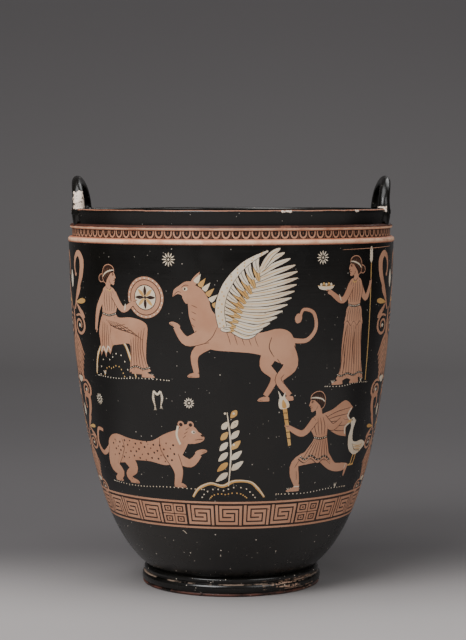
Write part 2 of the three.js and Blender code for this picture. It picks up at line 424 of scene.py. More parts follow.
def runner(b):
    """Youth in a short belted tunic, running to the right with a torch, 74 mm tall."""
    cloak = [(2, 57.5), (-8, 61), (-21, 67), (-31, 61), (-31, 61), (-27, 55), (-31.5, 50), (-31.5, 50),
             (-25, 46), (-26, 39), (-26, 39), (-16, 41), (-6, 46), (0, 50)]
    b.shape(cloak)
    for k in range(5):
        b.line([(-2 - k, 55 - 1.6 * k), (-13, 59 - 3.6 * k), (-28 + 0.6 * k, 61 - 4.4 * k)], 0.5)
    b.fill(stroke([(-29.4, 60.6), (-25.6, 55), (-29.6, 50.2), (-23.8, 46.4), (-24.4, 41)], [1.2, 1.2],
                  4), WHITE)
    b.limb([(-3, 27), (-16, 16.5), (-33, 15.5)], [11, 9.2, 6.4, 6.6, 3.6])
    foot(b.at(-33.5, 14.8, 0.9, 1, -68))
    b.limb([(4, 27), (20.5, 21.5), (16.6, 5.0)], [11.5, 10, 7.0, 7.2, 3.8])
    foot(b.at(15.8, 0.2))
    b.line([(17.5, 24.0), (20.5, 18.6)], 0.45)
    b.line([(18.6, 16), (17.4, 9)], 0.4)
    b.limb([(0.5, 55), (-9.5, 47.5), (-18.5, 52.5)], [5.8, 5.4, 4.6, 3.4])
    hand(b.at(-19.2, 53, 0.9, -1, 18))
    head(b.at(7.6, 67.2, 1, 1, -8), False)
    tunic = [(2.2, 58.6), (6.6, 58.0), (10.0, 55.4), (12.0, 49), (7.0, 40.6), (11.5, 33), (18, 25.2),
             (18, 25.2), (12.6, 22.0), (7.6, 25.0), (1, 20.8), (-5, 23.6), (-12, 19.0), (-12, 19.0),
             (-8.4, 30), (-5.2, 41), (-4.4, 50), (-0.6, 57.2)]
    b.fill([(1.03 * x, y - 0.5) for x, y in curve(tunic, 5, True)], LINE)
    b.shape(tunic)
    folds(b, [(-4.4, 39), (6.4, 39)], [(-10.6, 21), (16, 25)], 8, 0.5)
    folds(b, [(-0.4, 56), (8.6, 54.6)], [(-3.4, 42.6), (6.0, 42.4)], 4, 1.6)
    b.fill(stroke([(-5.2, 40.6), (1, 39.6), (7.0, 40.8)], [1.8, 1.8], 6), LINE)
    dots(b, [(-4.2, 40.5), (1, 39.7), (6.2, 40.6)], 7, 0.5)
    b.fill(stroke([(-11.0, 22.0), (-5, 26.0), (1, 23.4), (7.6, 27.2), (12.6, 24.4), (17, 27.0)],
                  [1.4, 1.4], 4), LINE)
    dots(b, [(-10.6, 22.1), (-5, 26.0), (1, 23.4), (7.6, 27.2), (12.6, 24.4), (16.6, 26.8)], 14, 0.42)
    torch(b.at(30.5, 49.5, 1, 1, -14))
    b.limb([(8.0, 54.2), (17.0, 44.6), (27.5, 48.6)], [6.0, 5.4, 4.6, 3.4])
    hand(b.at(28.0, 49.0, 1, 1, 20))


def torch(b):
    """Torch of bound rods with a flame."""
    b.fill(stroke([(0, -14), (0, 15)], [2.2, 3.4], 8), YELLOW)
    for k in range(5):
        b.line([(-1.8, -9 + 5 * k), (1.8, -8 + 5 * k)], 0.6)
    b.shape([(-3.2, 15), (-3.6, 19), (-1.6, 23), (-2.2, 27), (0.6, 24.2), (2.8, 29.5), (2.8, 24.0),
             (4.2, 20), (3.2, 15.4)], WHITE, 4)
    b.shape([(-1.4, 15.6), (-1.2, 19), (0.4, 22), (1.6, 19), (1.4, 15.6)], YELLOW, 4)


def paw(b):
    """Beast's paw, toes to the right."""
    b.shape([(-2.4, 3.2), (0.8, 3.8), (4.8, 2.8), (6.6, 1.0), (6.0, 0), (6.0, 0), (-2.0, 0),
             (-2.8, 1.4)], CLAY, 4)
    for k in range(3):
        b.line([(3.0 + 1.2 * k, 0.1), (3.2 + 1.2 * k, 1.3)], 0.35)


def wing(b):
    """Spread wing, its root at the spot, sweeping up and back to the left."""
    root = [(2, -2), (4, 14), (-2, 32), (-16, 48), (-34, 58)]
    tips = [(-26, -6), (-44, 8), (-56, 26), (-58, 44), (-44, 60)]
    inner = [(-4, -3), (-8, 8), (-12, 20), (-20, 32), (-30, 46)]
    count = 15
    for k in range(count):
        share = k / (count - 1)
        (x0, y0), (x1, y1) = along(curve(inner, 4), share), along(curve(tips, 4), share)
        bend = 5 - 7 * share
        mid = ((x0 + x1) / 2 - bend * 0.3, (y0 + y1) / 2 - bend)
        b.fill(stroke([(x0, y0), mid, (x1, y1)], [4.6, 5.4, 5.0, 4.4, 1.6], 5), LINE)
        b.fill(stroke([(x0, y0), mid, (x1, y1)], [3.6, 4.4, 4.0, 3.4, 0.8], 5), WHITE)
        b.line([(x0, y0), mid, (x1 + 0.12 * (x0 - x1), y1 + 0.12 * (y0 - y1))], 0.6, YELLOW)
    for reach, colour, count in ((1.2, YELLOW, 11), (0.75, WHITE, 11)):
        for k in range(count):
            share = 0.86 * k / (count - 1)
            (x0, y0), (x1, y1) = along(curve(root, 4), share), along(curve(inner, 4), share)
            x1, y1 = x0 + (x1 - x0) * reach, y0 + (y1 - y0) * reach
            spine = [(x0, y0), ((x0 + x1) / 2 + 0.4, (y0 + y1) / 2 - 1.0), (x1 - 2.0, y1 - 1.6)]
            b.fill(stroke(spine, [5.2, 5.6, 5.0, 2.0], 4), LINE)
            b.fill(stroke(spine, [4.4, 4.8, 4.2, 1.4], 4), colour)
            b.line(spine, 0.4)
    b.fill(stroke(root, [7.0, 8.0, 7.2, 5.2, 2.0], 6), LINE)
    b.fill(stroke(root, [6.2, 7.2, 6.4, 4.4, 1.2], 6), WHITE)
    for k in range(22):
        x, y = along(curve(root, 5), (k + 0.5) / 23)
        b.dot(x + (1.4 if k % 2 else -1.2), y, 0.7, YELLOW, 6)


def griffin(b):
    """Winged beast with an eagle's head, striding to the right."""
    b.limb([(-40, 31), (-52, 31), (-60, 40), (-58, 52), (-49, 55), (-46, 49)],
           [4.0, 3.4, 3.0, 2.8, 2.4, 2.0])
    b.shape([(-47.5, 50), (-44, 52), (-41.5, 48.5), (-43, 44.5), (-46.5, 45.5)], CLAY, 4)
    b.limb([(-24, 26), (-18, 12), (-25, 2), (-18, -12)], [15, 11, 7.0, 5.0, 4.0])
    paw(b.at(-18.4, -16.4))
    b.limb([(22, 32), (37, 21), (36, 6)], [11, 8.0, 5.4, 4.0])
    paw(b.at(36.6, 2.4))
    body = [(-42, 27), (-38, 37), (-28, 40.5), (-12, 37.5), (4, 40), (16, 47), (24, 55), (27, 64),
            (33, 72), (41, 75), (44, 68), (43, 60), (42, 50), (38.5, 40), (34, 30), (24, 24.5), (8, 23),
            (-8, 21.5), (-20, 18), (-32, 13), (-40, 18)]
    b.shape(body)
    b.limb([(-31, 27), (-38, 12), (-29, 0), (-38, -12)], [19, 15, 8.6, 5.4, 4.2], CLAY, 0.45)
    b.oval(-31, 27, 10.2, 11.0, CLAY, 15)
    b.line([(-22.6, 34), (-20.6, 26), (-24.6, 18.5)], 0.6)
    b.line([(-33, 4.5), (-30.5, 1.2), (-33, -3)], 0.45)
    paw(b.at(-38.2, -16.4))
    b.limb([(29, 36), (44, 31), (53, 42)], [13, 9.0, 6.0, 4.2], CLAY, 0.45)
    b.oval(28, 39, 8.0, 9.0, CLAY, 20)
    paw(b.at(53, 41, 1, 1, 30))
    b.line([(20, 42), (24, 34), (30, 29)], 0.5)
    for k in range(5):
        b.line([(-9 + 5.4 * k, 36 + 0.5 * k), (-10 + 5.2 * k, 31.5 + 0.4 * k),
                (-12 + 5.4 * k, 27 + 0.4 * k)], 0.4)
    for k in range(4):
        b.line([(37.5 - 0.6 * k, 42 + 5 * k), (40.2, 44 + 5 * k)], 0.4)
    b.shape([(36, 66), (38, 76), (44.5, 77.2), (50, 74), (54.5, 70.5), (55.5, 65.2), (55.5, 65.2),
             (51.5, 67.4), (48, 66.4), (47, 63.4), (43.5, 60)], CLAY, 4)
    b.line([(55, 66), (51.4, 69.2), (48.6, 68.4)], 0.45)
    b.oval(45.2, 71.4, 1.9, 1.4, WHITE)
    b.dot(45.6, 71.4, 0.9, LINE)
    b.line([(42.5, 74), (45.4, 74.4), (48.4, 72.4)], 0.5)
    b.shape([(36.5, 75), (33.6, 85), (33.6, 85), (38.6, 80.5), (40.5, 76.6)], CLAY, 4)
    b.line([(37.2, 77), (35.4, 82)], 0.4)
    for k in range(8):
        x, y = along([(37, 77), (29.5, 70), (24, 60), (17, 50)], k / 7)
        b.at(x, y, 1, 1, 128 + 5 * k).shape([(0, -1.9), (7.6, -0.6), (7.6, -0.6), (2.5, 1.9), (0, 1.9)],
                                            YELLOW if k % 2 else WHITE, 3)
    wing(b.at(14, 44, 0.98))


def panther(b):
    """Spotted cat stalking to the right."""
    b.limb([(-37, 27), (-49, 20), (-57, 27), (-54, 38), (-46, 38)], [4.2, 3.6, 3.2, 2.8, 2.4])
    b.limb([(-20, 22), (-13, 12), (-20, 6), (-16, 2)], [13, 8.4, 5.0, 4.4])
    paw(b.at(-16, 0))
    b.limb([(25, 24), (37, 19), (45, 26)], [11, 7.4, 5.4, 4.4])
    paw(b.at(45.6, 25.4, 1, 1, 24))
    b.shape([(-40, 25), (-37.5, 33), (-28, 37), (-12, 34.5), (6, 34), (18, 39.5), (27, 43), (36, 44),
             (38, 36), (34, 28), (28, 20.5), (18, 16.5), (4, 18.5), (-12, 18), (-24, 15), (-36, 16)])
    b.limb([(-30, 26), (-36, 13), (-28, 7), (-34, 2)], [18, 12.5, 6.4, 4.8])
    b.oval(-30, 26.5, 9.6, 9.2, CLAY)
    paw(b.at(-34, 0))
    b.limb([(22, 27), (27, 13), (24.6, 2)], [13, 9.0, 6.0, 4.8])
    b.oval(22, 29, 7.6, 8.0, CLAY)
    paw(b.at(25, 0))
    b.line([(-22, 34), (-20.4, 27), (-24, 20)], 0.5)
    b.line([(15, 37), (14.6, 29), (18.6, 21)], 0.5)
    b.oval(38.5, 41, 8.0, 7.4, CLAY, 0, 24)
    b.shape([(42, 44), (47, 42.6), (50.4, 39.4), (49.4, 36.4), (45.4, 34.6), (40, 34.4)], CLAY, 4)
    for x in (33.6, 41.0):
        b.oval(x, 48.2, 2.6, 2.6, CLAY, 0, 14)
        b.oval(x, 48.0, 1.4, 1.4, LINE, 0, 12)
    b.line([(43, 36.6), (46.4, 37.2), (49.6, 37.6)], 0.5)
    b.oval(49.2, 40.2, 1.3, 1.0, LINE)
    b.oval(42.6, 42.6, 1.5, 1.1, WHITE)
    b.dot(43.0, 42.6, 0.7, LINE)
    for k in range(3):
        b.line([(40 - 1.6 * k, 46 - 3.0 * k), (36.6 - 1.4 * k, 44 - 3.2 * k)], 0.35)
    for i in range(11):
        for j in range(4):
            x = -33 + 5.6 * i + 2.6 * (j % 2)
            y = 20.4 + 3.9 * j + 1.2 * math.sin(1.9 * i + j)
            b.dot(x, y, 0.85 if (i + j) % 3 else 0.6, LINE, 6)
    b.fill(stroke([(31.2, 47), (29.4, 40), (31.4, 33)], [1.6, 1.6], 5), WHITE)


def sapling(b, height=40):
    """Laurel shoot with paired leaves and berries."""
    b.line([(0, 0), (1.4, height * 0.5), (-0.6, height)], 0.9, WHITE, 8)
    for k in range(6):
        y = height * (0.2 + 0.14 * k)
        for side in (-1, 1):
            leaf = b.at(0.6, y, 1, side, 38 + 3 * k)
            leaf.shape([(1.2, 0), (4.5, 1.7), (9.8 - 0.6 * k, 0), (4.5, -1.7)],
                       WHITE if (k + side) % 3 else YELLOW, 3)
            b.dot(0.6 + side * 2.4, y + 3.6, 0.7, WHITE, 6)


def goose(b):
    """White goose standing to the right."""
    b.limb([(-1, 8), (0.5, 1)], [1.2, 1.0], YELLOW, 0)
    b.limb([(2.5, 8), (4, 1)], [1.2, 1.0], YELLOW, 0)
    for x in (0.8, 4.3):
        b.shape([(x - 1, 0), (x + 3.2, 0), (x + 0.2, 1.4)], YELLOW, 3)
    b.shape([(-13, 13), (-6, 16.5), (2, 16), (7, 18), (8.4, 25), (7, 30.5), (10.2, 33.6), (13, 31.6),
             (11.4, 27), (12.6, 20), (10, 12), (3, 7.4), (-4, 8)], WHITE)
    b.shape([(12.4, 32.6), (16.6, 30.6), (12.4, 30.4)], YELLOW, 3)
    b.dot(11.2, 31.8, 0.6, LINE)
    for k in range(4):
        b.line([(5.5 - 0.6 * k, 14.5 - 1.4 * k), (-2, 12.8 - 1.0 * k), (-9.5 + 1.2 * k, 13.4 - 1.5 * k)],
               0.5, YELLOW)
    b.line([(6.6, 15.4), (2, 10.4), (-5, 9.8)], 0.5)


def rosette(b, radius=5.2):
    """Star of twelve thin rays with a dot at its heart."""
    for k in range(12):
        b.at(0, 0, 1, 1, 30 * k).shape([(1.5, 0), (radius * 0.65, 0.45), (radius, 0),
                                        (radius * 0.65, -0.45)], WHITE, 3)
    b.dot(0, 0, 0.8, WHITE)


def fillet(b, length=26):
    """Hanging ribbon with tied ends."""
    b.fill(stroke([(-4, 0), (-5, -length * 0.5), (-3.4, -length)], [1.6, 2.6, 1.2], 6), WHITE)
    b.fill(stroke([(4, 0), (5.4, -length * 0.45), (3.6, -length * 0.9)], [1.6, 2.6, 1.2], 6), WHITE)
    b.fill(stroke([(-4, 0), (0, -3.6), (4, 0)], [1.8, 2.6, 1.8], 5), WHITE)
    for side, reach in ((-3.4, length), (3.6, length * 0.9)):
        for k in (-1, 0, 1):
            b.line([(side, -reach), (side + 1.4 * k, -reach - 4.5)], 0.5, WHITE)
    dots(b, [(-4.2, -3), (-5, -length * 0.5), (-3.6, -length * 0.9)], 6, 0.45, LINE)
    dots(b, [(4.2, -3), (5.4, -length * 0.45), (3.8, -length * 0.8)], 6, 0.45, LINE)


def mantle_figure(b, leaning):
    """Standing figure wrapped in a mantle, facing right, 92 mm tall."""
    if leaning:
        staff(b, (17, 1), (14.5, 62), False)
    for x in (-5.0, 4.0):
        b.limb([(x, 14), (x + 0.4, 4)], [5.6, 5.0, 3.8], CLAY, 0)
        foot(b.at(x + 0.4, 0))
    head(b.at(0.6, 85.4), False)
    mantle = [(-3.4, 78.2), (2.6, 77.6), (7.2, 74.0), (9.8, 63), (9.0, 48), (10.2, 28), (9.0, 11),
              (9.0, 11), (3.5, 9.0), (-3, 11.0), (-10.2, 8.4), (-10.2, 8.4), (-11.4, 28), (-10.6, 48),
              (-10.2, 63), (-7.8, 74.4)]
    b.shape(mantle)
    for k in range(6):
        b.line([(-7.4 + 0.4 * k, 72 - 8.6 * k), (-1, 63 - 8.8 * k), (8.8 - 0.1 * k, 62 - 8.0 * k)], 0.55)
    folds(b, [(-9, 40), (2, 34)], [(-9.4, 11), (0, 11.6)], 4, 0.5)
    b.fill(stroke([(-7.0, 74.6), (-1.0, 68), (5.6, 66.5), (9.6, 61)], [1.5, 1.5], 5), LINE)
    b.fill(stroke([(9.3, 13.2), (3.5, 11.3), (-3, 13.3), (-10.4, 10.7)], [1.5, 1.5], 5), LINE)
    b.line([(9.4, 60), (8.4, 46), (9.8, 28), (9.0, 14)], 0.8)
    if leaning:
        b.limb([(6.4, 68), (11.2, 59), (15.0, 61.4)], [5.6, 4.8, 3.2])
        hand(b.at(14.6, 61.6, 0.9, 1, 30))


def pillar(b, height=44):
    """Small standing stone with a moulded cap."""
    b.fill([(-5, 0), (5, 0), (4.2, height), (-4.2, height)], CLAY)
    for y, half in ((0, 6.4), (height, 6.4), (height + 2.2, 5.4)):
        b.fill([(-half, y), (half, y), (half, y + 1.7), (-half, y + 1.7)], WHITE)
    for x in (-2.2, 0, 2.2):
        b.line([(x, 3.5), (0.86 * x, height - 1.5)], 0.5)


def front():
    """Main side: two women, a griffin, a spotted cat, a torch bearer and a goose."""
    ground(Brush(-39, 166), 70, 26)
    seated_woman(Brush(-46, 167))
    griffin(Brush(4, 166.5, 0.92, -1))
    ground(Brush(47, 160.4), 48, 18)
    standing_woman(Brush(47, 161, 1.0, -1))
    ground(Brush(-34, 86), 84, 30)
    panther(Brush(-35, 87, 0.98))
    rock(Brush(-1, 80), 52, 13)
    sapling(Brush(-1, 89, 1.3), 42)
    ground(Brush(37, 82), 66, 24)
    runner(Brush(36, 83, 0.98, -1))
    goose(Brush(58, 98, 1.1, -1))
    rosette(Brush(-21, 253))
    rosette(Brush(32, 254))
    rosette(Brush(-57, 148), 4.4)
    rosette(Brush(-15, 150), 4.0)
    Brush(-22.5, 53.4).line([(0, 0), (1.4, -1.0), (2.6, -2.6)], 0.5, WHITE)
    fillet(Brush(-27, 158, 0.7), 16)
    Brush(58, 259.8).line([(-38, -0.5), (0, 0), (34, 0.5)], 0.45, CLAY)


def back():
    """Plain side: three mantle figures and a standing stone."""
    for angle, flip, leaning in ((146, 1, True), (184, -1, False), (216, -1, True)):
        mantle_figure(Brush(angle, 88, 1.58, flip), leaning)
    pillar(Brush(166, 88), 52)
    rosette(Brush(165, 228), 5.5)
    fillet(Brush(200, 244), 30)
    ground(Brush(180, 87), 190, 60)


def tendrils(angle):
    """Palmettes and tendrils, in two tiers and mirrored on an upright axis."""
    for top, size in ((255, 1.0), (150, 0.7)):
        for side in (-1, 1):
            b = Brush(angle, top, size, 1.45 * side)
            b.fill(stroke([(7.8, -15), (6.4, -9), (8.4, -2.4), (13.2, 0.4), (17.4, -5), (16.0, -16),
                           (9.4, -29), (3.4, -42)], [1.6, 2.0, 3.4, 4.8, 5.4, 4.8, 3.0, 1.4], 6), CLAY)
            b.dot(8.0, -15.4, 1.5, CLAY)
            for turn, reach, colour in ((58, 14, CLAY), (8, 13, YELLOW), (-44, 15, CLAY)):
                b.at(6.2, -36.5, 1, 1, turn).shape([(0.5, 0), (0.6 * reach, -1.7), (reach, -1.2),
                                                    (reach + 0.8, 1), (0.7 * reach, 2.2)], colour, 4)
            volute(b.at(10.0, -53.5), 8.6)
            for k in range(7):
                spine = [(1.4, -60 - 4.4 * k), (6.4 + 0.1 * k, -65 - 4.6 * k),
                         (13.0 - 1.2 * k, -76 - 3.4 * k)]
                b.fill(stroke(spine, [2.4, 3.8, 1.6], 4), LINE)
                b.fill(stroke(spine, [1.6, 2.8, 0.8], 4), CLAY)
            volute(b.at(9.4, -102), 7.6)
        b.shape([(0, -12), (2.6, -19), (0, -26), (-2.6, -19)], WHITE, 3)
        b.fill(stroke([(0, -40), (0, -62), (0, -96)], [1.6, 3.0, 6.2, 6.4, 3.0], 8), CLAY)
        for x in (-1.6, 0, 1.6):
            b.line([(0.4 * x, -60), (x, -76), (0.7 * x, -94)], 0.5)
        b.shape([(-5, -93), (5, -93), (2.4, -97), (-2.4, -97)], WHITE, 3)


def volute(b, radius):
    """Spiral line that leaves the stem, winds outwards and in to a white eye."""
    line = []
    for k in range(12):
        angle, reach = math.radians(128 - 48 * k), radius * (1 - 0.062 * k)
        line.append((reach * math.cos(angle), reach * math.sin(angle)))
    b.fill(stroke(line, [1.4, 2.2, 2.0, 1.7, 1.1], 3), CLAY)
    b.dot(0, 0, 0.17 * radius, WHITE)


KEY_PATH = [(0, 4.45), (0, 0), (5, 0), (5, 3), (2, 3), (2, 2), (4, 2), (4, 1), (1, 1), (1, 4), (6, 4),
            (6, -0.45)]


def bar_path(points, half):
    """Outline of a square-cornered path."""
    sides = [], []
    for i, (x, y) in enumerate(points):
        before = points[max(i - 1, 0)], points[max(i, 1)]
        after = points[min(i, len(points) - 2)], points[min(i + 1, len(points) - 1)]
        normals = {(-math.copysign(1, q[1] - p[1]) if q[1] != p[1] else 0,
                    math.copysign(1, q[0] - p[0]) if q[0] != p[0] else 0) for p, q in (before, after)}
        dx, dy = (half * sum(n[k] for n in normals) for k in (0, 1))
        sides[0].append((x + dx, y + dy))
        sides[1].append((x - dx, y - dy))
    return sides[0] + sides[1][::-1]


def band(low, high, colour):
    """A painted ring all round the wall."""
    turn = math.pi * WALL_RADIUS
    PAINT.append(([(-turn, low), (turn, low), (turn, high), (-turn, high)], colour))


def key_band():
    """Meander of key spirals, with a chequered panel at every fifth place."""
    low, high = MEANDER
    band(low, high, LINE)
    band(low, low + 1.5, CLAY)
    band(high - 1.5, high, CLAY)
    step = 2 * math.pi * WALL_RADIUS / KEY_CELLS
    floor, rise = low + 2.6, (high - low - 5.2) / 5
    reach = step / 7.1
    for cell in range(KEY_CELLS):
        left = step * (cell - KEY_CELLS / 2) + WALL_RADIUS * math.radians(KEY_SHIFT)
        if cell % 5 != 2:
            path = bar_path(KEY_PATH, 0.33)
            PAINT.append(([(left + reach * (x + 0.55), floor + rise * (y + 0.5)) for x, y in path], CLAY))
            continue
        for i in range(2):
            for j in range(2):
                for inset, colour in ((0.0, CLAY), (0.55, LINE), (0.9, CLAY), (1.25, LINE)):
                    x0, x1 = (left + reach * (0.3 + 3.3 * i + inset),
                              left + reach * (3.4 + 3.3 * i - inset))
                    y0, y1 = (floor + rise * (2.5 * j + 0.1 + 0.8 * inset),
                              floor + rise * (2.5 * j + 2.4 - 0.8 * inset))
                    PAINT.append(([(x0, y0), (x1, y0), (x1, y1), (x0, y1)], colour))


def egg_frieze():
    """Row of eggs under the rim."""
    low, high = FRIEZE_EDGES
    pitch = 2 * math.pi * WALL_RADIUS / EGGS
    for k in range(EGGS):
        x = pitch * (k + 0.5 - EGGS / 2)
        cup = [(-2.7, high - 0.3), (-2.5, high - 2.6), (-1.5, low + 1.4), (0, low + 0.9)]
        cup = [(x + s, z) for s, z in cup] + [(x - s, z) for s, z in cup[-2::-1]]
        FRIEZE.append((stroke(cup, [1.0, 1.3, 1.0], 3), CLAY))
        FRIEZE.append((ring(x, high - 1.7, 0.6, 1.1, 8), WASH))
        FRIEZE.append(([(x + pitch / 2 - 0.35, low + 0.25), (x + pitch / 2 + 0.35, low + 0.25),
                        (x + pitch / 2, high - 1.6)], WASH))


def moulding(shape, below, above, steps=10):
    """Profile of a half-round moulding between two root radii, from its foot to its top."""
    middle, half, radius = shape
    profile = []
    for k in range(steps + 1):
        angle = math.pi * (k / steps - 0.5)
        root = below if angle < 0 else above
        profile.append((root + (radius - root) * math.cos(angle), middle + half * math.sin(angle)))
    return profile


def on_turn(radius, angle, height):
    """Point at an angle from the painted side, growing towards +X."""
    return Vector((radius * math.sin(angle), -radius * math.cos(angle), height))


def turn(bm, profile, finish, strip):
    """Spin a profile of (radius, height) round the axis; strip is its height on the unrolled map."""
    bm.faces.index_update()
    known = len(bm.faces)
    rows = [bm.verts.new(on_turn(radius, 0, height)) for radius, height in profile]
    edges = [bm.edges.new(pair) for pair in zip(rows, rows[1:])]
    bmesh.ops.spin(bm, geom=rows + edges, axis=(0, 0, 1), cent=(0, 0, 0), angle=2 * math.pi, steps=TURNS,
                   use_merge=True)
    bm.faces.ensure_lookup_table()
    uv = bm.loops.layers.uv.verify()
    reach = [0.0]
    for (r0, z0), (r1, z1) in zip(profile, profile[1:]):
        reach.append(reach[-1] + math.hypot(r1 - r0, z1 - z0))
    line = np.array(profile)
    for face in bm.faces[known:]:
        face.material_index = finish
        middle = face.calc_center_median()
        around = math.atan2(middle.x, -middle.y)
        for loop in face.loops:
            x, y, z = loop.vert.co
            angle = math.atan2(x, -y) if abs(x) + abs(y) > WELD else around
            angle = around + (angle - around + math.pi) % (2 * math.pi) - math.pi
            nearest = np.argmin(np.hypot(line[:, 0] - math.hypot(x, y), line[:, 1] - z))
            loop[uv].uv = (0.5 + angle / (2 * math.pi), spread(strip, reach[nearest] / reach[-1]))


def clipped(outline, axis, bound, below):
    """Part of an outline on one side of a line across an axis."""
    kept = []
    for p, q in zip(outline, outline[1:] + outline[:1]):
        p_in, q_in = ((s[axis] <= bound) if below else (s[axis] >= bound) for s in (p, q))
        if p_in:
            kept.append(p)
        if p_in != q_in:
            a, b = sorted((p, q))
            along_edge = (bound - a[axis]) / (b[axis] - a[axis])
            other = a[1 - axis] + along_edge * (b[1 - axis] - a[1 - axis])
            kept.append((bound, other) if axis == 0 else (other, bound))
    return kept


def closer(outline):
    """The same outline with its long edges divided."""
    points = []
    for (x0, y0), (x1, y1) in zip(outline, outline[1:] + outline[:1]):
        count = max(1, math.ceil(math.hypot(x1 - x0, y1 - y0) / LONGEST_EDGE))
        points += [(x0 + (x1 - x0) * k / count, y0 + (y1 - y0) * k / count) for k in range(count)]
    return points


def covered(outline, x, y):
    """Which of the points lie inside an outline."""
    wound = np.zeros(len(x), int)
    for (x0, y0), (x1, y1) in zip(outline, outline[1:] + outline[:1]):
        side = (x1 - x0) * (y - y0) - (x - x0) * (y1 - y0)
        wound += (y0 <= y) & (y1 > y) & (side > 0)
        wound -= (y0 > y) & (y1 <= y) & (side < 0)
    return wound != 0


def painted_patch(bm, paint, ground_finish, box, rows, radius_at, strip):
    """One patch of wall, cut along the outlines that cross it and coloured in painting order."""
    left, right, low, high = box
    pieces = []
    for outline, finish, (x0, x1, y0, y1) in paint:
        if x1 <= left or x0 >= right or y1 <= low or y0 >= high:
            continue
        for axis, bound, below in ((0, left, False), (0, right, True), (1, low, False), (1, high, True)):
            outline = clipped(outline, axis, bound, below)
        if len(outline) > 2:
            pieces.append((outline, finish))
    columns = TURNS // SECTORS
    spots = [(left + (right - left) * i / columns, low + (high - low) * j / rows)
             for i in range(columns + 1) for j in range(rows + 1)]
    edges = []
    for outline, finish in pieces:
        first = len(spots)
        spots += outline
        edges += [(first + k, first + (k + 1) % len(outline)) for k in range(len(outline))]
    spots, _, corners, *_ = delaunay_2d_cdt([Vector(s) for s in spots], edges, [], 0, WELD / 2, False)
    places = np.array([tuple(s) for s in spots])
    centres = places[np.array(corners)].mean(axis=1)
    finishes = np.full(len(corners), ground_finish)
    for outline, finish in pieces:
        xs, ys = zip(*outline)
        near = np.flatnonzero((centres[:, 0] > min(xs)) & (centres[:, 0] < max(xs))
                              & (centres[:, 1] > min(ys)) & (centres[:, 1] < max(ys)))
        inside = covered(outline, centres[near, 0], centres[near, 1])
        finishes[near[inside]] = finish
    uv = bm.loops.layers.uv.verify()
    verts = [bm.verts.new(on_turn(radius_at(z), s / WALL_RADIUS, z)) for s, z in places]
    half = math.pi * WALL_RADIUS / 2
    front_half = abs(left + right) / 2 < half
    for corner, finish in zip(corners, finishes):
        face = bm.faces.new([verts[k] for k in corner])
        face.material_index = int(finish)
        for loop, k in zip(face.loops, corner):
            s, z = places[k]
            if strip:
                loop[uv].uv = (0.5 + s / (4 * half), spread(strip, (z - low) / (high - low)))
            else:
                across = s if front_half else s - math.copysign(2 * half, s)
                rise = (z - PATCH_HEIGHTS[0]) / (PATCH_HEIGHTS[-1] - PATCH_HEIGHTS[0])
                loop[uv].uv = (0.5 + across / (2 * half),
                               spread((0.60, 1.0) if front_half else (0.26, 0.6), rise))


def painted_ring(bm, paint, ground_finish, heights, radius_at, strip=None):
    """The wall between the first and last height, in patches."""
    whole = 2 * math.pi * WALL_RADIUS
    shifted = []
    for outline, finish in paint:
        outline = closer(outline)
        for shift in (-whole, 0, whole):
            moved = [(x + shift, y) for x, y in outline]
            xs, ys = zip(*moved)
            shifted.append((moved, finish, (min(xs), max(xs), min(ys), max(ys))))
    for low, high in zip(heights, heights[1:]):
        rows = max(1, round((high - low) / PATCH_ROW))
        for sector in range(SECTORS):
            left, right = (whole * ((sector + k) / SECTORS - 0.5) for k in (0, 1))
            painted_patch(bm, shifted, ground_finish, (left, right, low, high), rows, radius_at, strip)


def wall_line(low, high, radius, close, steps):
    """Profile points of a wall curve, closer together where it turns in."""
    heights = [low + (high - low) * (k / steps) ** 1.6 for k in range(steps + 1)]
    return [(wall_radius(z, radius, close), z) for z in heights]


